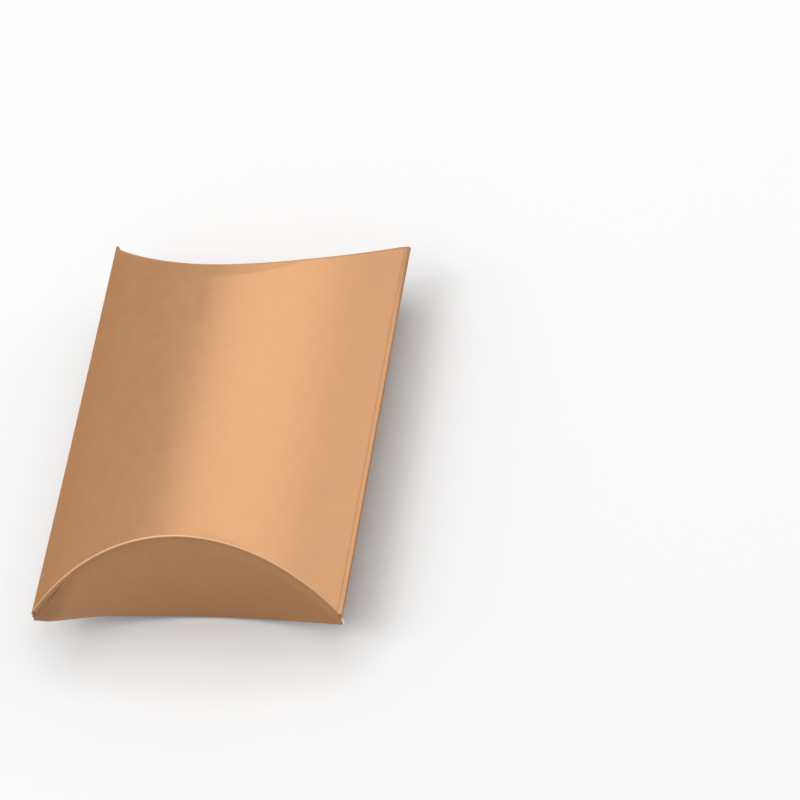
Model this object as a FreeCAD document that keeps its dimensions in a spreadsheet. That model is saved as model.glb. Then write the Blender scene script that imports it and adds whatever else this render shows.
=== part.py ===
# Pillow box: one blank of card, bowed into two arched panels and closed at each end by two lens-shaped flaps.
# X runs across the box, Y along it and Z up. The origin is under the middle of the box, on the lowest line
# of the bottom panel. Every piece is drawn about the level of the four corners and then raised by the bulge
# of one panel.
import FreeCAD, Part
import math
import os
import Sketcher
from FreeCAD import Placement, Rotation, Vector

FRONT = "-"
REAR = "+"
TOP = "+"
BOTTOM = "-"
OPPOSITE = {"+": "-", "-": "+"}

# The kind of flap that hangs from each panel.
FLAP_OF = {TOP: "outer", BOTTOM: "inner"}

# Which point of a line or an arc a sketch means, and its own origin.
START, END, CENTRE = 1, 2, 3
ORIGIN = (-1, 1)

# Well outside the corners, as a distance inwards.
OUTSIDE = "-Sizes.crease_inset"

# What is cut to shape later starts this many times as long as it ends up.
SPARE = 2

# A cut along a flap's free edge starts before the corners and ends past the crown, as shares of the bulge.
BEFORE_CORNERS = -0.5
PAST_CROWN = 1.5

doc = FreeCAD.newDocument("pillow_box")

# Driving sizes, in millimetres and degrees.
SIZES = {
    "box_length": "90",        # corner to corner along a side fold
    "box_width": "68",         # side fold to side seam
    "box_height": "25.2",      # crown of the top panel to crown of the bottom panel
    "card_thickness": "0.45",
    "fold_radius": "1",        # outside of a side fold
    "crease_inset": "12.2",    # how far the middle of an end crease lies inside the corners
    "crease_band": "0.8",      # width of the scored band, along the box
    "outer_crease_gap": "1.1", # along the box, from an outer flap's crease to the scored band behind it
    "outer_hem": "0.94",       # from the table up to the middle of a closed outer flap's free edge
    "outer_lean": "13",        # how far a closed outer flap leans out from upright
    "outer_tip_gap": "1.6",    # between an outer flap's pointed ends and the outside of the box
    "inner_headroom": "4.53",  # from the middle of a tucked inner flap's free edge up to the box's top
    "inner_lean": "20",        # how far a tucked inner flap leans in from upright
    "inner_tip_gap": "4.2",
    "inner_crease_gap": "2",   # more, since the flap leans towards its band
    "notch_width": "18",       # thumb notch of an inner flap
    "notch_depth": "4.5",
    "tab_width": "10",         # glue tab, seen from above
    "tab_end_gap": "4",        # corner of the box to the tab's end, at the fold
    "tab_taper": "40",         # slope of the tab's ends
    "glue_film": "0.1",
    "glue_seat": "0.02",       # between the glue and the card on either side of it
    "glue_width": "6",
    "glue_end_gap": "14",      # corner of the box to the end of the glue
}

# What follows from them.
RULES = {
    "half_length": "Sizes.box_length / 2",
    "half_width": "Sizes.box_width / 2",
    "bulge": "Sizes.box_height / 2",
    "slope": "Sizes.crease_inset / Derived.bulge",
    # A panel's arc and the rounded folds beside it meet without a kink.
    "fold_x": "Derived.half_width - Sizes.fold_radius",
    "arch": "Derived.bulge - Sizes.fold_radius",
    "swing": "(Derived.fold_x^2 + Derived.arch^2) / 2 / Derived.arch",
    "crown_radius": "Derived.swing + Sizes.fold_radius",
    "wall_radius": "Derived.crown_radius - Sizes.card_thickness",
    "drop": "Derived.crown_radius - Derived.bulge",
    "fold_sine": "Derived.fold_x / Derived.swing",
    "fold_cosine": "Derived.drop / Derived.swing",
    # The glue tab lies against the inside of the bottom panel, so the seam fold sits a little higher and
    # further in.
    "seam_step": "Sizes.card_thickness + Sizes.glue_film + 2 * Sizes.glue_seat",
    "tab_radius": "Derived.crown_radius - Derived.seam_step",
    "tab_swing": "Derived.swing - Derived.seam_step",
    "seam_z": "(Derived.swing^2 - Derived.tab_swing^2) / 4 / Derived.drop",
    "seam_x": "sqrt(Derived.swing^2 - (Derived.drop + Derived.seam_z)^2)",
    "seam_sine": "Derived.seam_x / Derived.swing",
    "seam_cosine": "(Derived.drop + Derived.seam_z) / Derived.swing",
    "tab_sine": "Derived.seam_x / Derived.tab_swing",
    "tab_cosine": "(Derived.drop - Derived.seam_z) / Derived.tab_swing",
    "cut_edge_sine": "Derived.half_width / Derived.crown_radius",
    "tab_root_x": "Derived.tab_radius * Derived.tab_sine",
    "tab_edge_sine": "(Derived.tab_root_x - Sizes.tab_width) / Derived.tab_radius",
    "glue_margin": "(Sizes.tab_width - Sizes.glue_width) / 2",
    "glue_outer_sine": "(Derived.tab_root_x - Derived.glue_margin) / Derived.tab_radius",
    "glue_inner_sine": "(Derived.tab_root_x - Derived.glue_margin - Sizes.glue_width) / Derived.tab_radius",
    # A flap is a round sheet. Its outer face meets the outside of its panel along the crease, which is the
    # line that it swings about at the crown.
    "crease_x": "sqrt(Derived.crown_radius^2 - Derived.drop^2)",
    "outer_reach": "(Sizes.box_height - Sizes.outer_hem) / cos(Sizes.outer_lean)",
    "inner_reach": "(Sizes.box_height - Sizes.inner_headroom) / cos(Sizes.inner_lean)",
    "outer_squeeze": "Derived.slope * cos(Sizes.outer_lean) - sin(Sizes.outer_lean)",
    "outer_sag": "Derived.outer_squeeze * Derived.bulge",
    "outer_radius": "(Derived.crease_x^2 + Derived.outer_sag^2) / 2 / Derived.outer_sag",
    "outer_run": "Derived.slope - Derived.outer_reach / Derived.bulge * sin(Sizes.outer_lean)",
    "outer_fall": "1 - Derived.outer_reach / Derived.bulge * cos(Sizes.outer_lean)",
    "inner_squeeze": "Derived.slope * cos(Sizes.inner_lean) + sin(Sizes.inner_lean)",
    "inner_sag": "Derived.inner_squeeze * Derived.bulge",
    "inner_radius": "(Derived.crease_x^2 + Derived.inner_sag^2) / 2 / Derived.inner_sag",
    "inner_run": "Derived.slope + Derived.inner_reach / Derived.bulge * sin(Sizes.inner_lean)",
    "inner_fall": "1 - Derived.inner_reach / Derived.bulge * cos(Sizes.inner_lean)",
    "notch_drop": "Sizes.notch_depth * cos(Sizes.inner_lean)",
    "notch_radius": "(Sizes.notch_width^2 / 4 + Derived.notch_drop^2) / 2 / Derived.notch_drop",
}

sheet = doc.addObject("Spreadsheet::Sheet", "Sizes")
for row, (alias, number) in enumerate(SIZES.items(), start=1):
    sheet.set(f"A{row}", alias)
    sheet.set(f"B{row}", number)
    sheet.setAlias(f"B{row}", alias)
doc.recompute()

derived = doc.addObject("App::VarSet", "Derived")
for name, rule in RULES.items():
    derived.addProperty("App::PropertyFloat", name)
    derived.setExpression(name, rule.replace("Derived.", ""))
doc.recompute()


def number(rule):
    """The present value of a rule, for drawing a sketch's first lines."""
    return float(sheet.evalExpression(rule))


def new_body(label):
    body = doc.addObject("PartDesign::Body", label)
    body.Label = label
    body.setExpression("Placement.Base.z", "Derived.bulge")
    return body


def new_sketch(body, name, role):
    sketch = body.newObject("Sketcher::SketchObject", f"{body.Label}_{name}")
    plane = [feature for feature in body.Origin.OriginFeatures if feature.Role == role]
    sketch.AttachmentSupport = (plane[0], [""])
    sketch.MapMode = "FlatFace"
    return sketch


def bind(sketch, kind, *where, rule):
    """Add one dimension to a sketch and tie it to a rule."""
    index = sketch.addConstraint(Sketcher.Constraint(kind, *where, number(rule)))
    sketch.setExpression(f"Constraints[{index}]", rule)


def pin_point(sketch, geometry, end, across, up):
    bind(sketch, "DistanceX", *ORIGIN, geometry, end, rule=across)
    bind(sketch, "DistanceY", *ORIGIN, geometry, end, rule=up)


def draw_polygon(sketch, corners):
    """Closed outline whose corners are pairs of rules."""
    points = [Vector(number(across), number(up), 0) for across, up in corners]
    following = points[1:] + points[:1]
    segments = [Part.LineSegment(here, there) for here, there in zip(points, following)]
    lines = [sketch.addGeometry(segment) for segment in segments]
    for line, follower in zip(lines, lines[1:] + lines[:1]):
        sketch.addConstraint(Sketcher.Constraint("Coincident", line, END, follower, START))
    for line, (across, up) in zip(lines, corners):
        pin_point(sketch, line, START, across, up)


def draw_arc(sketch, centre, radius, start, end):
    """Arc drawn anticlockwise between two directions from its centre. Everything is given as rules."""
    middle = Vector(number(centre[0]), number(centre[1]), 0)
    angles = [math.atan2(number(up), number(across)) for across, up in (start, end)]
    if angles[1] < angles[0]:
        angles[1] += 2 * math.pi
    circle = Part.Circle(middle, Vector(0, 0, 1), number(radius))
    arc = sketch.addGeometry(Part.ArcOfCircle(circle, *angles))
    bind(sketch, "Radius", arc, rule=radius)
    return arc


def draw_band(sketch, centre, outer, inner, start, end, level=False):
    """Strip of card seen on its edge: two arcs about one centre, closed by a line at each end.

    The ends are placed by their distance across or, on a strip that stands on its edge, by their level.
    """
    arcs = [draw_arc(sketch, centre, radius, start, end) for radius in (outer, inner)]
    pin_point(sketch, arcs[0], CENTRE, *centre)
    sketch.addConstraint(Sketcher.Constraint("Coincident", arcs[0], CENTRE, arcs[1], CENTRE))
    axis = 1 if level else 0
    kind = "DistanceY" if level else "DistanceX"
    for arc, radius in zip(arcs, (outer, inner)):
        for point, direction in ((START, start), (END, end)):
            place = f"{centre[axis]} + ({radius}) * ({direction[axis]})"
            bind(sketch, kind, *ORIGIN, arc, point, rule=place)
    for point in (START, END):
        tips = [sketch.getPoint(arc, point) for arc in arcs]
        line = sketch.addGeometry(Part.LineSegment(*tips))
        sketch.addConstraint(Sketcher.Constraint("Coincident", line, START, arcs[0], point))
        sketch.addConstraint(Sketcher.Constraint("Coincident", line, END, arcs[1], point))


def add_pad(body, sketch, length):
    """Raise a sketch equally to both sides."""
    pad = body.newObject("PartDesign::Pad", f"{body.Label}_pad")
    pad.Profile = sketch
    pad.SideType = "Symmetric"
    pad.setExpression("Length", length)
    doc.recompute()


def add_cut(body, sketch):
    """Cut a sketch right through, to both sides, and make sure that it took something away."""
    before = body.Shape.Volume
    cut = body.newObject("PartDesign::Pocket", f"{sketch.Label}_cut")
    cut.Profile = sketch
    cut.SideType = "Symmetric"
    cut.Type = "ThroughAll"
    doc.recompute()
    if not body.Shape.Volume < before:
        raise RuntimeError(f"{cut.Label} cuts nothing")


def at_end(end, inwards):
    """Place along the box, from a distance inwards from the corners of one end."""
    return f"{end}(Derived.half_length - ({inwards}))"


def at_side(side, level):
    """Height over the corners, from a distance towards one panel's crown."""
    return f"{side}({level})"


def side_outline(end, side, corners):
    """Outline in the side view, from pairs of rules: distance inwards and distance towards the crown."""
    return [(at_end(end, inwards), at_side(side, level)) for inwards, level in corners]


def crease_cut(end, side, shift, limit):
    """All that lies beyond a line along the crease, moved inwards by a shift, as far as a limit."""
    low = "-Sizes.fold_radius"
    high = "(Derived.bulge + Sizes.fold_radius)"
    return side_outline(end, side, [
        (f"{shift} + Derived.slope * {low}", low),
        (f"{shift} + Derived.slope * {high}", high),
        (limit, high),
        (limit, low),
    ])


def band_ends(side):
    """Where a scored band starts and where it meets its panel, as distances inwards from the crease."""
    start = f"Sizes.{FLAP_OF[side]}_crease_gap"
    return start, f"{start} + Sizes.crease_band"


def panel_section(body, side):
    """Section of one panel: an arch between the plain fold and, at the other side, the seam."""
    sketch = new_sketch(body, "section", "XZ_Plane")
    plain_fold = ("-Derived.fold_sine", at_side(side, "Derived.fold_cosine"))
    if side == TOP:
        ends = (("Derived.seam_sine", "Derived.seam_cosine"), plain_fold)
    else:
        ends = (plain_fold, ("Derived.cut_edge_sine", "-sqrt(1 - Derived.cut_edge_sine^2)"))
    centre = ("0", at_side(OPPOSITE[side], "Derived.drop"))
    draw_band(sketch, centre, "Derived.crown_radius", "Derived.wall_radius", *ends)
    return sketch


def make_panel(label, side):
    body = new_body(label)
    add_pad(body, panel_section(body, side), "Sizes.box_length")
    ends = new_sketch(body, "ends", "YZ_Plane")
    for end in (FRONT, REAR):
        draw_polygon(ends, crease_cut(end, side, band_ends(side)[1], OUTSIDE))
    add_cut(body, ends)
    return body


def make_crease(label, end, side):
    """The scored band at a panel's end. It is bevelled along the crease and clears the flap."""
    body = new_body(label)
    add_pad(body, panel_section(body, side), "Sizes.box_length")
    sides = new_sketch(body, "sides", "YZ_Plane")
    band_start, band_end = band_ends(side)
    draw_polygon(sides, crease_cut(end, side, band_start, OUTSIDE))
    past_other_end = "Sizes.box_length + Sizes.crease_inset"
    draw_polygon(sides, crease_cut(end, side, band_end, past_other_end))
    add_cut(body, sides)
    return body


def make_fold(label, centre, start, end):
    """A rounded side edge, whose ends come to a point at the corners of the box."""
    body = new_body(label)
    section = new_sketch(body, "section", "XZ_Plane")
    inside = "(Sizes.fold_radius - Sizes.card_thickness)"
    draw_band(section, centre, "Sizes.fold_radius", inside, start, end, level=True)
    add_pad(body, section, "Sizes.box_length")
    for side, name in ((TOP, "upper_ends"), (BOTTOM, "lower_ends")):
        ends = new_sketch(body, name, "YZ_Plane")
        for tip in (FRONT, REAR):
            draw_polygon(ends, crease_cut(tip, side, "0", OUTSIDE))
        add_cut(body, ends)
    return body


def seam_strip(body, outer, inner, from_sine, to_sine, length):
    """A strip along the inside of the bottom panel, between two directions from the panel's centre."""
    section = new_sketch(body, "section", "XZ_Plane")
    ends = [(sine, f"-sqrt(1 - {sine}^2)") for sine in (from_sine, to_sine)]
    draw_band(section, ("0", "Derived.drop"), outer, inner, *ends)
    add_pad(body, section, length)


def make_glue_tab():
    body = new_body("glue_tab")
    inside = "(Derived.tab_radius - Sizes.card_thickness)"
    seam_strip(body, "Derived.tab_radius", inside,
               "Derived.tab_edge_sine", "Derived.tab_sine", "Sizes.box_length")
    ends = new_sketch(body, "ends", "XY_Plane")
    far_edge = f"Derived.half_width - {SPARE} * Sizes.tab_width"
    far_gap = f"Sizes.tab_end_gap + {SPARE} * Sizes.tab_width * tan(Sizes.tab_taper)"
    for end in (FRONT, REAR):
        draw_polygon(ends, [
            ("Derived.half_width", at_end(end, "Sizes.tab_end_gap")),
            (far_edge, at_end(end, far_gap)),
            (far_edge, at_end(end, OUTSIDE)),
            ("Derived.half_width", at_end(end, OUTSIDE)),
        ])
    add_cut(body, ends)
    return body


def make_glue_film():
    body = new_body("glue_film")
    length = "Sizes.box_length - 2 * Sizes.glue_end_gap"
    outside = "(Derived.wall_radius - Sizes.glue_seat)"
    inside = "(Derived.tab_radius + Sizes.glue_seat)"
    seam_strip(body, outside, inside, "Derived.glue_inner_sine", "Derived.glue_outer_sine", length)
    return body


def flap_section(body, end, kind):
    """Section square to a flap, on a plane through the corners that leans with the flap."""
    sketch = new_sketch(body, "section", "XY_Plane")
    turn = Vector(1, 0, 0) if end == REAR else Vector(-1, 0, 0)
    lean = f"Sizes.{kind}_lean"
    sketch.AttachmentOffset = Placement(Vector(0, 0, 0), Rotation(turn, number(lean)))
    sketch.setExpression("AttachmentOffset.Base.y", at_end(end, "0"))
    sketch.setExpression("AttachmentOffset.Rotation.Angle", lean)
    face = f"Derived.{kind}_radius"
    inside = f"({face} + Sizes.card_thickness)"
    sine = f"(Derived.half_width - Sizes.{kind}_tip_gap) / {inside}"
    inwards = OPPOSITE[end]
    cosine = f"{inwards}sqrt(1 - ({sine})^2)"
    ends = [(sine, cosine), (f"-({sine})", cosine)]
    if end == REAR:
        ends.reverse()
    draw_band(sketch, ("0", f"{end}({face} - Derived.{kind}_sag)"), inside, face, *ends)
    return sketch


def trim_at_crease(body, side):
    """End the flap at the outside of its panel, so that its outer face starts on the crease."""
    sketch = new_sketch(body, "crease", "XZ_Plane")
    radius = "Derived.crown_radius"
    centre = ("0", at_side(OPPOSITE[side], "Derived.drop"))
    sine = f"Derived.crease_x / {radius}"
    cosine = at_side(side, f"Derived.drop / {radius}")
    ends = [(sine, cosine), (f"-{sine}", cosine)]
    if side == BOTTOM:
        ends.reverse()
    arc = draw_arc(sketch, centre, radius, *ends)
    pin_point(sketch, arc, CENTRE, *centre)
    high = at_side(side, "Sizes.box_width")
    corners = [("-Sizes.box_width", "0"), ("-Sizes.box_width", high),
               ("Sizes.box_width", high), ("Sizes.box_width", "0")]
    first, last = (END, START) if side == TOP else (START, END)
    points = [sketch.getPoint(arc, first)]
    points += [Vector(number(across), number(up), 0) for across, up in corners]
    points += [sketch.getPoint(arc, last)]
    segments = [Part.LineSegment(here, there) for here, there in zip(points, points[1:])]
    lines = [sketch.addGeometry(segment) for segment in segments]
    sketch.addConstraint(Sketcher.Constraint("Coincident", lines[0], START, arc, first))
    sketch.addConstraint(Sketcher.Constraint("Coincident", lines[-1], END, arc, last))
    for line, follower, (across, up) in zip(lines, lines[1:], corners):
        sketch.addConstraint(Sketcher.Constraint("Coincident", line, END, follower, START))
        pin_point(sketch, line, END, across, up)
    for line in (lines[0], lines[-1]):
        sketch.addConstraint(Sketcher.Constraint("Horizontal", line))
    add_cut(body, sketch)


def trim_free_edge(body, end, side, kind):
    """The flap's free edge lies in a plane through the corners, as its crease does."""
    sketch = new_sketch(body, "free_edge", "YZ_Plane")
    run, fall = f"Derived.{kind}_run", f"Derived.{kind}_fall"
    outwards = "-" if kind == "outer" else "+"
    past = f"{SPARE} * Derived.{kind}_reach"
    beyond = (f"{outwards}{past} * sin(Sizes.{kind}_lean)", f"-{past} * cos(Sizes.{kind}_lean)")
    near, far = f"{BEFORE_CORNERS} * Derived.bulge", f"{PAST_CROWN} * Derived.bulge"
    draw_polygon(sketch, side_outline(end, side, [
        (f"{near} * {run}", f"{near} * {fall}"),
        (f"{far} * {run}", f"{far} * {fall}"),
        (f"{far} * {run} {beyond[0]}", f"{far} * {fall} {beyond[1]}"),
        (f"{near} * {run} {beyond[0]}", f"{near} * {fall} {beyond[1]}"),
    ]))
    add_cut(body, sketch)


def cut_notch(body, side):
    """Round thumb notch in the middle of a flap's free edge."""
    sketch = new_sketch(body, "notch", "XZ_Plane")
    edge = "Derived.bulge * Derived.inner_fall"
    level = at_side(side, f"{edge} + Derived.notch_drop - Derived.notch_radius")
    radius = "Derived.notch_radius"
    outline = Part.Circle(Vector(0, number(level), 0), Vector(0, 0, 1), number(radius))
    circle = sketch.addGeometry(outline)
    bind(sketch, "Radius", circle, rule=radius)
    pin_point(sketch, circle, CENTRE, "0", level)
    add_cut(body, sketch)


def make_flap(label, end, side, kind):
    body = new_body(label)
    add_pad(body, flap_section(body, end, kind), f"{SPARE} * Derived.{kind}_reach")
    trim_at_crease(body, side)
    trim_free_edge(body, end, side, kind)
    if kind == "inner":
        cut_notch(body, side)
    return body


pieces = [make_panel("top_panel", TOP), make_panel("bottom_panel", BOTTOM)]
for end_name, end in (("front", FRONT), ("rear", REAR)):
    for side_name, side in (("top", TOP), ("bottom", BOTTOM)):
        kind = FLAP_OF[side]
        pieces.append(make_crease(f"{end_name}_{side_name}_crease", end, side))
        pieces.append(make_flap(f"{end_name}_{kind}_flap", end, side, kind))
pieces.append(make_fold("side_fold", ("-Derived.fold_x", "0"),
                        ("-Derived.fold_sine", "Derived.fold_cosine"),
                        ("-Derived.fold_sine", "-Derived.fold_cosine")))
pieces.append(make_fold("seam_fold", ("Derived.seam_x", "Derived.seam_z"),
                        ("Derived.tab_sine", "-Derived.tab_cosine"),
                        ("Derived.seam_sine", "Derived.seam_cosine")))
pieces.append(make_glue_tab())
pieces.append(make_glue_film())
doc.recompute()

for item in doc.Objects:
    if "Invalid" in item.State or "Error" in item.State:
        raise RuntimeError(f"{item.Label} failed: {item.State}")
for piece in pieces:
    if piece.Shape.isNull() or not piece.Shape.isValid() or len(piece.Shape.Solids) != 1:
        raise RuntimeError(f"{piece.Label} is not one sound solid")

os.makedirs("parts", exist_ok=True)
for piece in pieces:
    piece.Shape.exportStep(f"parts/{piece.Label}.step")
    print(f"{piece.Label}: {piece.Shape.Volume:.1f} cubic millimetres")
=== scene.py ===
import math

import bpy
from mathutils import Matrix, Vector


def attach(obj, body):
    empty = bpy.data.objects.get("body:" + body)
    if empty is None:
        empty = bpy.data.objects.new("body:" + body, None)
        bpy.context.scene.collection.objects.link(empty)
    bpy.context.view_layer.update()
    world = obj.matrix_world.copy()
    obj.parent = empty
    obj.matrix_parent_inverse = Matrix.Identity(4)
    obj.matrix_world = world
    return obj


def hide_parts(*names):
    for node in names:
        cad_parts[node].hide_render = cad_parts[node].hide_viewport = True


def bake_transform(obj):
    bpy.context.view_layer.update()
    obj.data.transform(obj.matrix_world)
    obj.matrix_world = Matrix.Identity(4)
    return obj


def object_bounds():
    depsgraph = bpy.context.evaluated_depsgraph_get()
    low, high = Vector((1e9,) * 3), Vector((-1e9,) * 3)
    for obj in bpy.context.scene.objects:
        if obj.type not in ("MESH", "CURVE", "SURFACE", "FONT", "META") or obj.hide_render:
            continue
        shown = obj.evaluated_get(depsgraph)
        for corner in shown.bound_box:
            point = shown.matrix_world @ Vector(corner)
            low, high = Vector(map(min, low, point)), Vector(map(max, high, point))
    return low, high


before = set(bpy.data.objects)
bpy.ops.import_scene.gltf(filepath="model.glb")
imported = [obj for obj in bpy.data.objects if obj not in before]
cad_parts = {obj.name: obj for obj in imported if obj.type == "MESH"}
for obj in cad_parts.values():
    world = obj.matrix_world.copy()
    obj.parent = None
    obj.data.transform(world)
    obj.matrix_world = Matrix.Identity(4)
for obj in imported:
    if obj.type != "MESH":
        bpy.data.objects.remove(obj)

# A pillow box of rose gold card, gold outside and white inside. Each sheet of card is made by a rule: a
# plain block is bent into place by a formula for its outer face and one for its inner face.
# Lengths are metres and angles are radians. X runs across the box, Y along it and Z up.
CAD_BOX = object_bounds()
BOX_WIDTH, BOX_LENGTH, BOX_HEIGHT = CAD_BOX[1] - CAD_BOX[0]
MM = 0.001

# Sizes of the card, its folds and its flaps, as the solids have them.
CARD = 0.45 * MM
FOLD_RADIUS = 1.0 * MM
CREASE_INSET = 12.2 * MM
OUTER_REACH = 24.9 * MM
OUTER_LEAN = math.radians(13)
INNER_REACH = 22 * MM
INNER_LEAN = math.radians(-20)
INNER_TIP_GAPS = {"left": 4.2 * MM, "right": 4.2 * MM}
NOTCH_WIDTH = 18 * MM
NOTCH_DEPTH = 4.5 * MM
TAB_WIDTH = 10 * MM
TAB_END_GAP = 4 * MM
TAB_TAPER = math.radians(40)
GLUE_GAP = 0.14 * MM

# Sizes that follow this one box more closely than the solids do: how far short of the box's sides the
# tips of an outer flap end, and how tightly the seam is folded.
OUTER_TIP_GAPS = {"left": 0.05 * MM, "right": 0.7 * MM}
SEAM_RADIUS = 0.62 * MM

# What follows from them. The drop is how far the centre of a panel's arch lies beyond the level of the
# corners. A swing is how far the centre of a fold lies from the centre of the arch beside it.
HALF_LENGTH = BOX_LENGTH / 2
HALF_WIDTH = BOX_WIDTH / 2
BULGE = BOX_HEIGHT / 2
SLOPE = CREASE_INSET / BULGE
ARCH = BULGE - FOLD_RADIUS
FOLD_X = HALF_WIDTH - FOLD_RADIUS
SWING = (FOLD_X**2 + ARCH**2) / 2 / ARCH
CROWN_RADIUS = SWING + FOLD_RADIUS
DROP = CROWN_RADIUS - BULGE
TAB_RADIUS = CROWN_RADIUS - CARD - GLUE_GAP
SEAM_SWING = CROWN_RADIUS - SEAM_RADIUS
TAB_SWING = TAB_RADIUS - SEAM_RADIUS
SEAM_Z = (SEAM_SWING**2 - TAB_SWING**2) / 4 / DROP
SEAM_X = math.sqrt(SEAM_SWING**2 - (DROP + SEAM_Z) ** 2)
FOLD_ANGLE = math.asin(FOLD_X / SWING)
SEAM_ANGLE = math.asin(SEAM_X / SEAM_SWING)
TAB_ANGLE = math.asin(SEAM_X / TAB_SWING)
TAB_EDGE_ANGLE = math.asin(math.sin(TAB_ANGLE) - TAB_WIDTH / TAB_RADIUS)
NOTCH_RADIUS = (NOTCH_WIDTH**2 / 4 + NOTCH_DEPTH**2) / 2 / NOTCH_DEPTH

# Signs: the two ends of the box, its two panels and its two sides.
FRONT, REAR = -1, 1
TOP, BOTTOM = 1, -1
LEFT, RIGHT = -1.0, 1.0

# From a crease to where its scored band meets the panel, along the box.
BAND_END = {TOP: 1.9 * MM, BOTTOM: 2.8 * MM}

# Where each panel ends on the seam side, as an angle from its crown. A lap is how far a panel runs on over
# the fold beside it. The bottom panel is trimmed nearly flush with the seam fold above it.
FOLD_LAP = 0.2 * MM / CROWN_RADIUS
SEAM_LAP = 0.12 * MM / CROWN_RADIUS
SEAM_TRIM = 0.7 * MM
SEAM_SIDE = {TOP: SEAM_ANGLE + SEAM_LAP, BOTTOM: math.asin((HALF_WIDTH - SEAM_TRIM) / CROWN_RADIUS)}

# How a crease is rolled, and how the flap under it lies back behind the roll.
ROLL = 0.6 * MM
ROLL_TUCK = math.radians(35)
FLAP_SETBACK = 0.45 * MM
FLAP_SETBACK_FADE = 4 * MM

# How a panel's rows are shared out, from its middle to each end: the panel itself, then its scored band,
# then the roll. The panel's rows crowd towards the ends, and its columns towards one side, which is the
# seam on the top panel.
PANEL_SHARE = 0.72
BAND_SHARE = 0.35
ROW_CROWDING = 1.7
COLUMN_CROWDING = 1.6


class Field:
    """A value that varies over a sheet or a surface: a formula, kept as math nodes."""

    def __init__(self, tree, socket):
        self.tree = tree
        self.socket = socket

    def math(self, operation, *others):
        node = self.tree.nodes.new("ShaderNodeMath")
        node.operation = operation
        for socket, value in zip(node.inputs, (self, *others)):
            feed(self.tree, socket, value)
        return Field(self.tree, node.outputs[0])

    def __add__(self, other):
        return self.math("ADD", other)

    def __mul__(self, other):
        return self.math("MULTIPLY", other)

    def __sub__(self, other):
        return self.math("SUBTRACT", other)

    def __rsub__(self, other):
        return -self + other

    def __truediv__(self, other):
        return self.math("DIVIDE", other)

    def __neg__(self):
        return self * -1.0

    __radd__ = __add__
    __rmul__ = __mul__

    def power(self, exponent):
        return self.math("POWER", exponent)

    def sin(self):
        return self.math("SINE")

    def cos(self):
        return self.math("COSINE")

    def tan(self):
        return self.math("TANGENT")

    def sqrt(self):
        return self.math("SQRT")

    def abs(self):
        return self.math("ABSOLUTE")

    def least(self, other):
        return self.math("MINIMUM", other)

    def most(self, other):
        return self.math("MAXIMUM", other)

    def below(self, other):
        return self.math("LESS_THAN", other)

    def above(self, other):
        return self.math("GREATER_THAN", other)

    def near(self, other, slack):
        return self.math("COMPARE", other, slack)

    def step(self, first, last):
        """From 0 to 1, smoothly, between two values."""
        node = self.tree.nodes.new("ShaderNodeMapRange")
        node.interpolation_type = "SMOOTHSTEP"
        feed(self.tree, node.inputs["Value"], self)
        feed(self.tree, node.inputs["From Min"], first)
        feed(self.tree, node.inputs["From Max"], last)
        return Field(self.tree, node.outputs[0])


def feed(tree, socket, value):
    """Give an input a plain value or the result of other nodes."""
    if isinstance(value, Field):
        tree.links.new(value.socket, socket)
    else:
        socket.default_value = value


def between(first, last, share):
    return first + (last - first) * share


def within(value, limit):
    """A value kept between a limit and the same limit below zero."""
    return value.least(limit).most(-limit)


def moved(point, *steps):
    """A point, moved by any number of pairs of direction and distance."""
    for direction, distance in steps:
        point = tuple(place + part * distance for place, part in zip(point, direction))
    return point


# The name of the attribute that tells a material where a sheet is paler: a painted highlight along the
# upper part of each crease's roll, with some crease wear. Also where on the roll that pale band starts, is
# full, fades and ends, as angles from the panel.
SHEEN_AND_WEAR = "sheen_and_wear"
SHEEN_AND_WEAR_START, SHEEN_AND_WEAR_FULL = 0.05, 0.25
SHEEN_AND_WEAR_FADE, SHEEN_AND_WEAR_END = 0.6, 1.0

# The box is twisted a little: towards the rear, its left side rises and leans in.
TWIST_RISE = 2.2 * MM
TWIST_SHIFT = 0.3 * MM
TWIST_START = -5 * MM
TWIST_POWER = 1.5

# The depth of a face in its sheet: 1 is the outside, 0 is the inside, and the cut edge lies halfway. The
# depth of a rim, where the cut edge meets another face, is a quarter away from that of the cut edge.
EDGE_DEPTH = 0.5
RIM_DEPTH = 0.25
DEPTH_SLACK = 0.1


def twist_share(x, y):
    """How much of the twist there is at a place. There is none at the front or right of its start."""
    leftwards = ((TWIST_START - x) / (HALF_WIDTH + TWIST_START)).most(0.0)
    rearwards = ((y + HALF_LENGTH) / BOX_LENGTH).most(0.0)
    return leftwards.power(TWIST_POWER) * rearwards.power(TWIST_POWER)


def add_node(tree, kind, geometry):
    """A node that works on what the nodes before it have made."""
    node = tree.nodes.new(kind)
    tree.links.new(geometry, node.inputs["Geometry"])
    return node


def sheet_inputs(tree, sizes):
    """The named inputs of a sheet's nodes, as sockets to link from."""
    kinds = {"NodeSocketInt": ("Columns", "Rows"), "NodeSocketFloat": (*sizes, "Cut from", "Bare to"),
             "NodeSocketMaterial": ("Outside", "Inside", "Cut edge")}
    for kind, labels in kinds.items():
        for label in labels:
            tree.interface.new_socket(label, in_out="INPUT", socket_type=kind)
    return tree.nodes.new("NodeGroupInput").outputs


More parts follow.
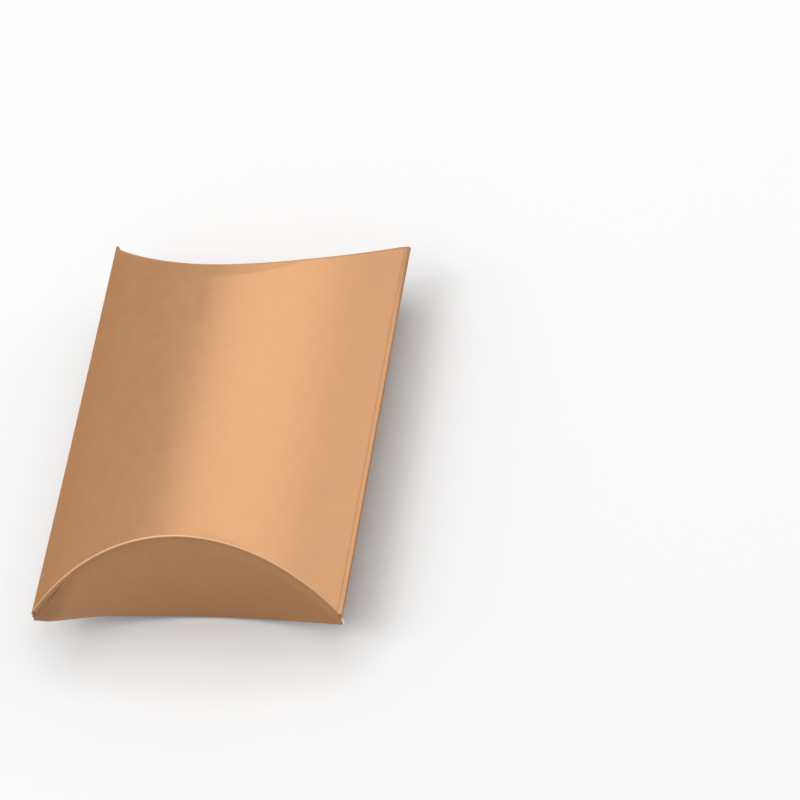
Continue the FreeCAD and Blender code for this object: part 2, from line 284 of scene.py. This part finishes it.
def paint_sheet(tree, enter, sheet, depth, row):
    """Smooth faces with sharp rims, and a material each for the outside, the inside and the cut edge."""
    on_edge = depth.near(EDGE_DEPTH, DEPTH_SLACK)
    soft = add_node(tree, "GeometryNodeSetShadeSmooth", sheet)
    feed(tree, soft.inputs["Shade Smooth"], 1.0 - on_edge)
    sharp = add_node(tree, "GeometryNodeSetShadeSmooth", soft.outputs[0])
    sharp.domain = "EDGE"
    sharp.inputs["Shade Smooth"].default_value = False
    feed(tree, sharp.inputs["Selection"], (depth - EDGE_DEPTH).abs().near(RIM_DEPTH, DEPTH_SLACK))
    painted = add_node(tree, "GeometryNodeRealizeInstances", sharp.outputs[0])
    from_middle = (row * 2.0 - 1.0).abs()
    bare = depth.below(DEPTH_SLACK) * from_middle.below(Field(tree, enter["Bare to"]))
    cut = on_edge * row.above(Field(tree, enter["Cut from"]))
    for label, where in (("Outside", True), ("Inside", bare), ("Cut edge", cut)):
        painted = add_node(tree, "GeometryNodeSetMaterial", painted.outputs[0])
        tree.links.new(enter[label], painted.inputs["Material"])
        feed(tree, painted.inputs["Selection"], where)
    return painted.outputs[0]


def sheet_tree(name, sizes, rule):
    """Nodes that bend a plain block into a sheet of card.

    The rule takes the named sizes and the shares across and along the sheet. It gives a point on the outer
    face, the same point on the inner face, and how pale the card is there: a painted highlight with some
    crease wear.
    """
    tree = bpy.data.node_groups.new(name, "GeometryNodeTree")
    enter = sheet_inputs(tree, sizes)
    block = tree.nodes.new("GeometryNodeMeshCube")
    tree.links.new(enter["Columns"], block.inputs["Vertices X"])
    tree.links.new(enter["Rows"], block.inputs["Vertices Y"])
    place = tree.nodes.new("ShaderNodeSeparateXYZ")
    tree.links.new(tree.nodes.new("GeometryNodeInputPosition").outputs[0], place.inputs[0])
    across, along, outwards = (Field(tree, socket) + 0.5 for socket in place.outputs)

    flat = add_node(tree, "GeometryNodeCaptureAttribute", block.outputs["Mesh"])
    flat.domain = "FACE"
    for label, field in (("Depth", outwards), ("Row", along)):
        flat.capture_items.new("FLOAT", label)
        tree.links.new(field.socket, flat.inputs[label])

    outer, inner, sheen_and_wear = rule({label: Field(tree, enter[label]) for label in sizes}, across, along)
    store_sheen_and_wear = add_node(tree, "GeometryNodeStoreNamedAttribute", flat.outputs["Geometry"])
    store_sheen_and_wear.inputs["Name"].default_value = SHEEN_AND_WEAR
    feed(tree, store_sheen_and_wear.inputs["Value"], sheen_and_wear)
    x, y, z = (between(low, high, outwards) for low, high in zip(inner, outer))
    twist = twist_share(x, y)
    point = tree.nodes.new("ShaderNodeCombineXYZ")
    for socket, value in zip(point.inputs, (x + twist * TWIST_SHIFT, y, z + twist * TWIST_RISE)):
        feed(tree, socket, value)
    bend = add_node(tree, "GeometryNodeSetPosition", store_sheen_and_wear.outputs["Geometry"])
    tree.links.new(point.outputs[0], bend.inputs["Position"])

    depth, row = (Field(tree, flat.outputs[label]) for label in ("Depth", "Row"))
    painted = paint_sheet(tree, enter, bend.outputs[0], depth, row)
    tree.interface.new_socket("Sheet", in_out="OUTPUT", socket_type="NodeSocketGeometry")
    tree.links.new(painted, tree.nodes.new("NodeGroupOutput").inputs["Sheet"])
    return tree


def make_sheet(name, tree, nodes, **values):
    """One sheet of card, as a plain mesh that stands for the solids of its nodes."""
    piece = bpy.data.objects.new(name, bpy.data.meshes.new(name))
    bpy.context.scene.collection.objects.link(piece)
    modifier = piece.modifiers.new("Sheet", "NODES")
    modifier.node_group = tree
    for socket in tree.interface.items_tree:
        if socket.in_out == "INPUT":
            modifier[socket.identifier] = values[socket.name.replace(" ", "_").lower()]
    graph = bpy.context.evaluated_depsgraph_get()
    finished = bpy.data.meshes.new_from_object(piece.evaluated_get(graph), depsgraph=graph)
    finished.name = name
    # The first slot is the block's own, which is empty.
    finished.materials.pop(index=0)
    piece.modifiers.clear()
    piece.data = finished
    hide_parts(*nodes)
    return piece


# Where hand folding has left soft marks in the top panel: beside the rear crease, beside the front
# crease, and a shallow buckle near the rear end.
REAR_LIP = {"middle": -3 * MM, "reach": 20 * MM, "width": 3.3 * MM, "tilt": 0.10}
FRONT_LIP = {"middle": 10 * MM, "reach": 8 * MM, "width": 1.3 * MM, "tilt": 0.06}
BUCKLE = {"rim": -6 * MM, "rim_width": 1.6 * MM, "fade": 14 * MM,
          "inset": 9 * MM, "length": 9 * MM, "depth": 0.10 * MM}

# The score that the seam fold was bent along, and how far the card beside it turns down at the rear corner.
SCORE_X = 33.1 * MM
SCORE_WIDTH = 0.3 * MM
SCORE_DEPTH = 0.06 * MM
SEAM_TILT = 0.5
SEAM_TILT_START, SEAM_TILT_END = 0.2, 0.45


def lip_dip(lip, across, inset):
    """How far a lens-shaped lip dips, at a distance inwards from its crease."""
    lens = lip["width"] * (1.0 - ((across - lip["middle"]) / lip["reach"]).power(2.0))
    return (lens - inset).most(0.0) * lip["tilt"]


def buckle_dip(across, inset):
    """How far the buckle dips: at once at its rim, and then less and less to the left."""
    left_of_rim = BUCKLE["rim"] - across
    past_rim = left_of_rim.step(-BUCKLE["rim_width"], BUCKLE["rim_width"])
    fading = 1.0 - left_of_rim.step(0.0, BUCKLE["fade"])
    along_rim = ((inset - BUCKLE["inset"]).abs() / BUCKLE["length"]).step(1.0, 0.0)
    return past_rim * fading * along_rim * BUCKLE["depth"]


def panel_dip(size, across, front_inset, rear_inset):
    """All the soft marks of a panel. Marks is 1 on the panel that has them and 0 on the other."""
    dip = lip_dip(REAR_LIP, across, rear_inset) + lip_dip(FRONT_LIP, across, front_inset)
    score = (across - SCORE_X).abs().step(SCORE_WIDTH, 0.0) * SCORE_DEPTH
    return (dip + buckle_dip(across, rear_inset) + score) * size["Marks"]


def seam_drop(size, across, y):
    """How far the strip beside the seam drops, which is more and more towards the rear corner."""
    tilt = (y / size["Length"]).step(SEAM_TILT_START, SEAM_TILT_END) * SEAM_TILT
    return (across - SCORE_X).most(0.0) * tilt * size["Marks"]


def arch_place(size, share):
    """Where a column of a sheet stands on its panel's arch: sine and cosine of its angle from the crown."""
    angle = between(size["First angle"], size["Last angle"], share)
    return angle.sin(), angle.cos()


CREASE_INPUTS = ("Length", "Crown radius", "Drop", "Bulge", "Slope", "Card", "Side", "First angle",
                 "Last angle", "Roll", "Crown turn", "Corner turn", "Corner sine", "Marks")


def crease_place(size, sine, cosine, end):
    """A column of a crease: its level over the corners, and where it would lie without its roll."""
    level = size["Crown radius"] * cosine - size["Drop"]
    line = (size["Crown radius"] * sine, end * (size["Length"] / 2.0 - size["Slope"] * level),
            size["Bulge"] + size["Side"] * level)
    return level, line


def crease_turn(size, sine):
    """How steeply a crease slants at a column, how much that stretches it, and how far the card turns."""
    steep = size["Slope"] * sine
    stretch = (steep * steep + 1.0).sqrt()
    turn = between(size["Crown turn"], size["Corner turn"], (sine / size["Corner sine"]).power(2.0))
    return steep, stretch, turn


PANEL_INPUTS = (*CREASE_INPUTS, "Band")


def panel_rule(size, across, along):
    """A bowed panel with its two creases. It lies on the arch, and rolls towards a flap at each end."""
    sine, cosine = arch_place(size, 1.0 - (1.0 - across).power(COLUMN_CROWDING))
    signed = along * 2.0 - 1.0
    end = signed.math("SIGN")
    level, line = crease_place(size, sine, cosine, end)
    steep, stretch, turn = crease_turn(size, sine)
    on_panel = (signed.abs() / PANEL_SHARE).least(1.0)
    on_crease = ((signed.abs() - PANEL_SHARE) / (1.0 - PANEL_SHARE)).most(0.0)
    on_band = (on_crease / BAND_SHARE).least(1.0)
    rolled = ((on_crease - BAND_SHARE) / (1.0 - BAND_SHARE)).most(0.0) * (turn + ROLL_TUCK)
    crease = size["Length"] / 2.0 - size["Slope"] * level
    eased = 1.0 - (1.0 - on_panel).power(ROW_CROWDING)
    tangent = size["Roll"] * (turn * 0.5).tan() * stretch
    y = end * ((crease - size["Band"]) * eased + (size["Band"] - tangent) * on_band)
    outward = (sine, 0.0, cosine * size["Side"])
    past_end = (-(steep * cosine / stretch), end / stretch, size["Side"] * steep * sine / stretch)
    dip = panel_dip(size, line[0], crease + y, crease - y)
    low = line[2] - seam_drop(size, line[0], y)
    middle = moved((line[0], y, low), (outward, -size["Roll"] - dip))
    faces = []
    for radius in (size["Roll"], size["Roll"] - size["Card"]):
        faces.append(moved(middle, (outward, rolled.cos() * radius), (past_end, rolled.sin() * radius)))
    # A pale band on the upper part of the roll: a painted highlight where the bead catches light, with some
    # crease wear.
    sheen_and_wear = rolled.step(SHEEN_AND_WEAR_START, SHEEN_AND_WEAR_FULL) * (1.0 - rolled.step(SHEEN_AND_WEAR_FADE, SHEEN_AND_WEAR_END))
    return *faces, sheen_and_wear


FLAP_INPUTS = (*CREASE_INPUTS, "End", "Lean", "Reach share", "Setback", "Notch radius", "Notch depth",
               "Half width", "Buckled")

# A valley in the front outer flap, where it was pushed in beside the left corner, and how the flap's free
# edge hangs lower towards both corners. On the last stretch to a flap's tip, its setback ends and the left
# droop falls to a share.
VALLEY_START = -21 * MM
VALLEY_END = -33 * MM
VALLEY_WIDTH = 3 * MM
VALLEY_LEAST_WIDTH = 0.05 * MM
VALLEY_FADE = 6 * MM
VALLEY_DEPTH = 1.9 * MM
VALLEY_ROOM = 8 * MM
VALLEY_SHARE = 0.5
TIP_START = 31.5 * MM
TIP_END = 34 * MM
LEFT_DROOP = 1.5 * MM
RIGHT_DROOP = 1.0 * MM
RIGHT_DROOP_START = -8 * MM
RIGHT_DROOP_END = 33 * MM
TIP_DROOP_SHARE = 0.7


def valley_dip(growth, down, depth):
    """A fold beside the crease that deepens towards the left corner and fades out over the flap's depth."""
    width = (growth * VALLEY_WIDTH).least(depth * VALLEY_SHARE) + VALLEY_LEAST_WIDTH
    steep_side = (down / width).least(1.0)
    gentle_side = 1.0 - (down - width).step(0.0, (depth - width).least(VALLEY_FADE))
    room = (depth / VALLEY_ROOM).least(1.0)
    return growth * room * steep_side * gentle_side * VALLEY_DEPTH


def flap_reach(size, x, level, left, inside_tip):
    """How far a flap reaches from its crease to its free edge, with its notch and its drooping tips."""
    notch_radius = size["Notch radius"]
    bite = (notch_radius * notch_radius - x * x).most(0.0).sqrt() - notch_radius
    notch = (bite + size["Notch depth"]).most(0.0)
    right = x.step(RIGHT_DROOP_START, RIGHT_DROOP_END) * size["Buckled"]
    left_droop = left * LEFT_DROOP * between(TIP_DROOP_SHARE, 1.0, inside_tip)
    return level * size["Reach share"] - notch + left_droop + right * RIGHT_DROOP


def flap_rule(size, across, along):
    """A flap: straight lines, all leaning alike, from its crease to its free edge, and then its marks."""
    sine, cosine = arch_place(size, across)
    level, line = crease_place(size, sine, cosine, size["End"])
    _, stretch, turn = crease_turn(size, sine)
    x = line[0]
    lean_sine, lean_cosine = size["Lean"].sin(), size["Lean"].cos()
    squeeze = sine * (size["Slope"] * lean_cosine - lean_sine)
    norm = (squeeze * squeeze + cosine * cosine).sqrt()
    skew = sine * (size["Slope"] * lean_sine + lean_cosine) / stretch
    start = size["Roll"] * (turn * 0.5).tan() / (1.0 - skew * skew).sqrt()
    inside_tip = 1.0 - x.abs().step(TIP_START, TIP_END)
    left = x.step(VALLEY_START, VALLEY_END) * size["Buckled"]
    depth = flap_reach(size, x, level, left, inside_tip) - start
    down_flap = depth * along
    setback = size["Setback"] * (1.0 - down_flap.step(0.0, FLAP_SETBACK_FADE)) * inside_tip
    valley = valley_dip(left, down_flap, depth)
    at_front, at_rear = 0.5 - size["End"] * 0.5, 0.5 + size["End"] * 0.5
    dip = panel_dip(size, x, size["Length"] * at_rear, size["Length"] * at_front) * (1.0 - along)
    down = (0.0, size["End"] * lean_sine, -(size["Side"] * lean_cosine))
    facing = (-(squeeze / norm), size["End"] * lean_cosine * cosine / norm,
              size["Side"] * lean_sine * cosine / norm)
    outward = (sine, 0.0, cosine * size["Side"])
    past_box = (0.0, size["End"], 0.0)
    face = moved(line, (down, start + down_flap), (facing, -setback), (past_box, -valley), (outward, -dip))
    faces = []
    for point in (face, moved(face, (facing, -size["Card"]))):
        inside_x = within(point[0], size["Half width"])
        inside_y = within(point[1], size["Length"] * 0.5)
        faces.append((inside_x, inside_y, point[2]))
    return *faces, 0.0


FOLD_INPUTS = ("Length", "Bulge", "Slope", "Card", "Centre x", "Centre z", "Radius", "Facing",
               "First angle", "Last angle", "Marks", "Front trim", "Rear trim")


def fold_rule(size, across, along):
    """A rounded side edge, which comes to a point at each corner of the box. The points can be trimmed."""
    turn = between(size["First angle"], size["Last angle"], across)
    trim = between(size["Front trim"], size["Rear trim"], along)
    faces = []
    for radius in (size["Radius"], size["Radius"] - size["Card"]):
        level = size["Centre z"] + radius * turn.sin()
        half = size["Length"] / 2.0 - size["Slope"] * level.abs().most(trim)
        x = size["Centre x"] + size["Facing"] * radius * turn.cos()
        y = (along * 2.0 - 1.0) * half
        faces.append((x, y, size["Bulge"] + level - seam_drop(size, x, y)))
    return *faces, 0.0


TAB_INPUTS = ("Length", "Tab radius", "Drop", "Bulge", "Card", "First angle", "Last angle", "Half width",
              "End gap", "Taper")


def tab_rule(size, across, along):
    """The glue tab, on the inside of the bottom panel, with ends that taper away from the fold."""
    sine, cosine = arch_place(size, across)
    faces = []
    for radius in (size["Tab radius"], size["Tab radius"] - size["Card"]):
        x = radius * sine
        half = size["Length"] / 2.0 - size["End gap"] - (size["Half width"] - x) * size["Taper"].tan()
        faces.append((x, (along * 2.0 - 1.0) * half, size["Bulge"] + size["Drop"] - radius * cosine))
    return *faces, 0.0


# The fibres of the card: how fine each kind of noise is, how the felt is drawn out along the box, and how
# much of the felt and the clouds the bumps have.
FELT_SCALE, CLOUD_SCALE, WAVE_SCALE = 5200.0, 260.0, 55.0
FIBRE_DETAIL, WAVE_DETAIL = 3.0, 1.0
FELT_ROUGHNESS, CLOUD_ROUGHNESS = 0.6, 0.5
FELT_STRETCH = (1.0, 0.45, 1.0)
FINE_BUMPS = 0.25

# Finishes. Each has a dark and a light shade and a range from smooth to rough. The felt is how much the
# shade follows the felt, and for the rest it follows the clouds. The mix is where the shade starts to
# lighten and where it is lightest. The grain is what the roughness follows.
GOLD_FINISH = {"dark": (0.40, 0.214, 0.107), "light": (0.44, 0.238, 0.122), "felt": 0.6, "mix": (0.3, 0.7),
               "smooth": 0.40, "rough": 0.46, "grain": "Clouds", "bumps": 0.06, "bump_height": 0.02 * MM}
WHITE_FINISH = {"dark": (0.76, 0.74, 0.70), "light": (0.84, 0.825, 0.79), "felt": 0.5, "mix": (0.25, 0.75),
                "smooth": 0.75, "rough": 0.9, "grain": "Felt", "bumps": 0.25, "bump_height": 0.02 * MM}
CUT_FINISH = {"dark": (0.60, 0.57, 0.52), "light": (0.80, 0.78, 0.74), "felt": 1.0, "mix": (0.3, 0.7),
              "smooth": 0.8, "rough": 0.95, "grain": "Felt", "bumps": 0.5, "bump_height": 0.03 * MM}
GLUE_FINISH = {"dark": (0.78, 0.72, 0.58), "light": (0.84, 0.80, 0.68), "felt": 0.0, "mix": (0.3, 0.7),
               "smooth": 0.35, "rough": 0.5, "grain": "Clouds"}

# The gold's own: how metallic it is, its clear film, and its paler colour on a crease's roll, which is a
# painted highlight with some crease wear.
GOLD_METAL = 0.8
FILM_GLOSS = 0.2
FILM_TINT = (0.85, 0.55, 0.35)
SHEEN_AND_WEAR_GOLD = (0.56, 0.335, 0.19)
LEAST_SHEEN_AND_WEAR = 0.6


def new_material(name):
    material = bpy.data.materials.new(name)
    material.use_nodes = True
    return material, material.node_tree, material.node_tree.nodes["Principled BSDF"]


def noise(tree, vector, scale, detail, roughness):
    node = tree.nodes.new("ShaderNodeTexNoise")
    tree.links.new(vector, node.inputs["Vector"])
    node.inputs["Scale"].default_value = scale
    node.inputs["Detail"].default_value = detail
    node.inputs["Roughness"].default_value = roughness
    return Field(tree, node.outputs["Fac"])


def card_fibre_group():
    """The fibres of the card: a fine felt, soft clouds where the felt is thicker, and slow waves."""
    group = bpy.data.node_groups.new("card_fibre", "ShaderNodeTree")
    place = group.nodes.new("ShaderNodeTexCoord").outputs["Object"]
    stretched = group.nodes.new("ShaderNodeMapping")
    stretched.inputs["Scale"].default_value = FELT_STRETCH
    group.links.new(place, stretched.inputs["Vector"])
    felt = noise(group, stretched.outputs[0], FELT_SCALE, FIBRE_DETAIL, FELT_ROUGHNESS)
    clouds = noise(group, place, CLOUD_SCALE, FIBRE_DETAIL, CLOUD_ROUGHNESS)
    waves = noise(group, place, WAVE_SCALE, WAVE_DETAIL, CLOUD_ROUGHNESS)
    fields = {"Felt": felt, "Clouds": clouds, "Height": felt * FINE_BUMPS + clouds * FINE_BUMPS + waves}
    for label in fields:
        group.interface.new_socket(label, in_out="OUTPUT", socket_type="NodeSocketFloat")
    leave = group.nodes.new("NodeGroupOutput")
    for label, field in fields.items():
        group.links.new(field.socket, leave.inputs[label])
    return group


CARD_FIBRE = card_fibre_group()


def add_fibres(tree):
    """The fibres in one material, as fields by their names."""
    node = tree.nodes.new("ShaderNodeGroup")
    node.node_tree = CARD_FIBRE
    return {socket.name: Field(tree, socket) for socket in node.outputs}


def blend_colours(tree, share, first, last):
    node = tree.nodes.new("ShaderNodeMix")
    node.data_type = "RGBA"
    feed(tree, node.inputs["Factor"], share)
    for socket, colour in ((node.inputs["A"], first), (node.inputs["B"], last)):
        if isinstance(colour, tuple):
            socket.default_value = (*colour, 1.0)
        else:
            tree.links.new(colour, socket)
    return node.outputs["Result"]


def mix_shades(tree, fibres, finish):
    """How light the fibres make a place, and the colour that a finish has there."""
    mix = fibres["Felt"] * finish["felt"] + fibres["Clouds"] * (1.0 - finish["felt"])
    share = mix.step(*finish["mix"])
    return share, blend_colours(tree, share, finish["dark"], finish["light"])


def roughen(tree, shader, fibres, finish):
    """The roughness of a finish, and its bumps where it has them."""
    roughness = between(finish["smooth"], finish["rough"], fibres[finish["grain"]])
    feed(tree, shader.inputs["Roughness"], roughness)
    if "bumps" in finish:
        bump = tree.nodes.new("ShaderNodeBump")
        bump.inputs["Strength"].default_value = finish["bumps"]
        bump.inputs["Distance"].default_value = finish["bump_height"]
        tree.links.new(fibres["Height"].socket, bump.inputs["Height"])
        tree.links.new(bump.outputs[0], shader.inputs["Normal"])


def gold_card_material():
    """Satin rose gold: fine metal flakes in a clear film on the card, paler on the creases' rolls, where a
    highlight is painted and the creases are somewhat worn.
    """
    material, tree, shader = new_material("satin_rose_gold")
    fibres = add_fibres(tree)
    share, plain = mix_shades(tree, fibres, GOLD_FINISH)
    attribute = tree.nodes.new("ShaderNodeAttribute")
    attribute.attribute_name = SHEEN_AND_WEAR
    # The pale band on the creases is a painted highlight, with some crease wear.
    sheen_and_wear = Field(tree, attribute.outputs["Fac"]) * between(LEAST_SHEEN_AND_WEAR, 1.0, share)
    tree.links.new(blend_colours(tree, sheen_and_wear, plain, SHEEN_AND_WEAR_GOLD), shader.inputs["Base Color"])
    shader.inputs["Metallic"].default_value = GOLD_METAL
    shader.inputs["Specular IOR Level"].default_value = FILM_GLOSS
    shader.inputs["Specular Tint"].default_value = (*FILM_TINT, 1.0)
    roughen(tree, shader, fibres, GOLD_FINISH)
    return material


def plain_material(name, finish):
    material, tree, shader = new_material(name)
    fibres = add_fibres(tree)
    _, colour = mix_shades(tree, fibres, finish)
    tree.links.new(colour, shader.inputs["Base Color"])
    roughen(tree, shader, fibres, finish)
    return material


# The card's metal face, its bare back, its greyer and rougher cut core, and the slightly yellow glue.
GOLD = gold_card_material()
WHITE = plain_material("bare_white_card", WHITE_FINISH)
CUT = plain_material("cut_card_edge", CUT_FINISH)
GLUE = plain_material("dried_glue", GLUE_FINISH)

PANEL_TREE = sheet_tree("bowed_panel", PANEL_INPUTS, panel_rule)
FLAP_TREE = sheet_tree("lens_flap", FLAP_INPUTS, flap_rule)
FOLD_TREE = sheet_tree("side_fold", FOLD_INPUTS, fold_rule)
TAB_TREE = sheet_tree("glue_tab", TAB_INPUTS, tab_rule)

# How finely each sheet is divided.
PANEL_GRID = {"columns": 161, "rows": 201}
FLAP_GRID = {"columns": 241, "rows": 81}
FOLD_GRID = {"columns": 17, "rows": 161}
TAB_GRID = {"columns": 33, "rows": 97}

# Where a sheet shows its cut edge and its bare inside: the cut edge from a share of its rows on, and the
# inside up to a share of the way from its middle row to its ends. A flap isn't cut at its crease. A fold
# is gold inside too near its two points, which show from outside.
CUT_ALL_ROUND = -1.0
CUT_PAST_CREASE = 0.001
BARE_ALL_OVER = 2.0
BARE_BETWEEN_POINTS = 0.93
CARD_FACES = {"outside": GOLD, "inside": WHITE, "cut_edge": CUT, "card": CARD,
              "cut_from": CUT_ALL_ROUND, "bare_to": BARE_ALL_OVER}
FLAP_FACES = {**CARD_FACES, "cut_from": CUT_PAST_CREASE}
PANEL_FACES = {**CARD_FACES, "cut_edge": GOLD}
FOLD_FACES = {**PANEL_FACES, "bare_to": BARE_BETWEEN_POINTS}
ARCH_SIZES = {"length": BOX_LENGTH, "crown_radius": CROWN_RADIUS, "drop": DROP, "bulge": BULGE,
              "slope": SLOPE}

# A share of a flap's depth, from its crease.
BEND_SHARE = 0.6

# How far from the level of the corners a fold's points are trimmed, so that they stay behind the flaps.
FOLD_TRIM = 0.7 * MM
SEAM_REAR_TRIM = 1.2 * MM

# Where the bend of each fold starts and ends, as angles up from level.
QUARTER_TURN = math.pi / 2
SIDE_FOLD_ANGLES = (FOLD_ANGLE - QUARTER_TURN, QUARTER_TURN - FOLD_ANGLE)
SEAM_FOLD_ANGLES = (QUARTER_TURN - SEAM_ANGLE, TAB_ANGLE - QUARTER_TURN)


def join_tube(piece):
    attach(piece, "tube")


def span(left, right, mirrored):
    """First and last angle of a sheet. A mirrored sheet runs from right to left, so that it faces out."""
    first, last = (right, -left) if mirrored else (-left, right)
    return {"first_angle": first, "last_angle": last}


def fold_turn(lean, angle):
    """How far the card turns at a crease, from panel to flap, at an angle from the crown."""
    sine, cosine = math.sin(angle), math.cos(angle)
    squeeze = sine * (SLOPE * math.cos(lean) - math.sin(lean))
    norm = math.hypot(squeeze, cosine)
    return math.acos((-sine * squeeze + cosine * cosine * math.sin(lean)) / norm)


def crease_sizes(side, lean):
    return {"side": side, "roll": ROLL, "crown_turn": fold_turn(lean, 0.0),
            "corner_turn": fold_turn(lean, FOLD_ANGLE), "corner_sine": math.sin(FOLD_ANGLE),
            "marks": float(side == TOP), **ARCH_SIZES}


def make_panel(name, side, lean):
    """A panel and its two creases, which are one sheet of card."""
    nodes = [f"{name}_panel", f"front_{name}_crease", f"rear_{name}_crease"]
    angles = span(FOLD_ANGLE + FOLD_LAP, SEAM_SIDE[side], side == BOTTOM)
    piece = make_sheet(f"{name}_panel_card", PANEL_TREE, nodes, band=BAND_END[side], **angles,
                       **crease_sizes(side, lean), **PANEL_GRID, **PANEL_FACES)
    join_tube(piece)


def make_flap(name, side, end, lean, reach, tip_gaps, notch_depth):
    """A flap, baked in place where it lies closed."""
    tips = {tip: math.asin((HALF_WIDTH - gap) / CROWN_RADIUS) for tip, gap in tip_gaps.items()}
    angles = span(tips["left"], tips["right"], side * end < 0)
    piece = make_sheet(f"{name}_card", FLAP_TREE, [name], end=end, lean=lean, reach_share=reach / BULGE,
                       setback=FLAP_SETBACK, notch_radius=NOTCH_RADIUS, notch_depth=notch_depth,
                       half_width=HALF_WIDTH, buckled=float(name == "front_outer_flap"), **angles,
                       **crease_sizes(side, lean), **FLAP_GRID, **FLAP_FACES)
    crown = Vector((0, end * (HALF_LENGTH - SLOPE * BULGE), BULGE + side * BULGE))
    into_flap = Vector((0, -end, -side * SLOPE)).normalized()
    free_edge = crown + Vector((0, end * math.sin(lean), -side * math.cos(lean))) * reach
    depth_of_flap = (free_edge - crown).dot(into_flap)
    crown + into_flap * depth_of_flap * BEND_SHARE
    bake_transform(piece)


def make_fold(name, centre, radius, facing, angles, **values):
    """A side edge of the box. Its centre is given across the box and up from the level of the corners."""
    piece = make_sheet(f"{name}_card", FOLD_TREE, [name], length=BOX_LENGTH, bulge=BULGE, slope=SLOPE,
                       centre_x=centre[0], centre_z=centre[1], radius=radius, facing=facing,
                       first_angle=angles[0], last_angle=angles[1], front_trim=FOLD_TRIM, **values,
                       **FOLD_GRID, **FOLD_FACES)
    join_tube(piece)


def make_glue_tab():
    piece = make_sheet("glue_tab_card", TAB_TREE, ["glue_tab"], length=BOX_LENGTH, tab_radius=TAB_RADIUS,
                       drop=DROP, bulge=BULGE, first_angle=TAB_ANGLE, last_angle=TAB_EDGE_ANGLE,
                       half_width=HALF_WIDTH, end_gap=TAB_END_GAP, taper=TAB_TAPER,
                       **TAB_GRID, **CARD_FACES)
    join_tube(piece)


make_panel("top", TOP, OUTER_LEAN)
make_panel("bottom", BOTTOM, INNER_LEAN)
for end_name, end in (("front", FRONT), ("rear", REAR)):
    make_flap(f"{end_name}_outer_flap", TOP, end, OUTER_LEAN, OUTER_REACH, OUTER_TIP_GAPS, 0.0)
    make_flap(f"{end_name}_inner_flap", BOTTOM, end, INNER_LEAN, INNER_REACH, INNER_TIP_GAPS, NOTCH_DEPTH)
make_fold("side_fold", (-FOLD_X, 0.0), FOLD_RADIUS, LEFT, SIDE_FOLD_ANGLES, rear_trim=0.0, marks=0.0)
make_fold("seam_fold", (SEAM_X, SEAM_Z), SEAM_RADIUS, RIGHT, SEAM_FOLD_ANGLES, rear_trim=SEAM_REAR_TRIM,
          marks=1.0)
make_glue_tab()

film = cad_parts["glue_film"]
film.data.materials.clear()
film.data.materials.append(GLUE)

# The floor, the light and the camera. Every lamp faces the middle of the floor. Its glow sets how bright
# its face is, whatever its size.
FLOOR_REACH = 4.0
FLOOR_COLOUR = (0.67, 0.67, 0.67)
FLOOR_ROUGHNESS = 0.9
SKY_COLOUR = (1.0, 1.0, 1.0)
SKY_STRENGTH = 0.55
SOFTBOXES = {
    "key": {"place": (0.0, 0.55, 0.95), "width": 1.1, "height": 0.6, "glow": 2.6},
    "right": {"place": (0.8, 0.45, 0.55), "width": 0.6, "height": 0.6, "glow": 2.2},
    "left": {"place": (-0.9, 0.5, 0.35), "width": 0.8, "height": 0.7, "glow": 0.5},
    "front": {"place": (-0.35, -0.34, 0.87), "width": 1.0, "height": 0.55, "glow": 2.4},
    "left_front": {"place": (-0.85, -0.22, 0.62), "width": 0.5, "height": 0.4, "glow": 1.8},
    "right_top": {"place": (0.36, -0.08, 0.95), "width": 0.45, "height": 0.4, "glow": 2.0},
}
CAMERA_PLACE = Vector((0.2305, -0.2918, 0.5062))
CAMERA_RIGHT = Vector((0.9482, 0.1547, -0.2774))
CAMERA_UP = Vector((0.0103, 0.8579, 0.5138))
SENSOR_WIDTH = 36.0
FOCAL_PIXELS = 2952.2
IMAGE_PIXELS = 800


def make_floor():
    mesh = bpy.data.meshes.new("floor")
    corners = [(x * FLOOR_REACH, y * FLOOR_REACH, 0.0) for x, y in ((-1, -1), (1, -1), (1, 1), (-1, 1))]
    mesh.from_pydata(corners, [], [(0, 1, 2, 3)])
    floor = bpy.data.objects.new("floor", mesh)
    bpy.context.scene.collection.objects.link(floor)
    material, _, shader = new_material("pale_floor")
    shader.inputs["Base Color"].default_value = (*FLOOR_COLOUR, 1.0)
    shader.inputs["Roughness"].default_value = FLOOR_ROUGHNESS
    mesh.materials.append(material)


def make_softbox(name, place, width, height, glow):
    light = bpy.data.lights.new(name, "AREA")
    light.shape = "RECTANGLE"
    light.size, light.size_y = width, height
    light.energy = glow * math.pi * width * height
    lamp = bpy.data.objects.new(name, light)
    lamp.location = place
    lamp.rotation_euler = (-Vector(place)).to_track_quat("-Z", "Y").to_euler()
    bpy.context.scene.collection.objects.link(lamp)


def make_camera():
    data = bpy.data.cameras.new("camera")
    data.sensor_width = SENSOR_WIDTH
    data.lens = FOCAL_PIXELS / IMAGE_PIXELS * SENSOR_WIDTH
    camera = bpy.data.objects.new("camera", data)
    back = CAMERA_RIGHT.cross(CAMERA_UP).normalized()
    right = CAMERA_UP.cross(back).normalized()
    turn = Matrix((right, back.cross(right), back)).transposed()
    camera.matrix_world = Matrix.Translation(CAMERA_PLACE) @ turn.to_4x4()
    bpy.context.scene.collection.objects.link(camera)
    bpy.context.scene.camera = camera


def make_world():
    world = bpy.data.worlds.new("studio")
    bpy.context.scene.world = world
    world.use_nodes = True
    sky = world.node_tree.nodes["Background"]
    sky.inputs["Color"].default_value = (*SKY_COLOUR, 1.0)
    sky.inputs["Strength"].default_value = SKY_STRENGTH


make_floor()
for lamp_name, softbox in SOFTBOXES.items():
    make_softbox(lamp_name, **softbox)
make_camera()
make_world()
bpy.context.scene.view_settings.view_transform = "Standard"
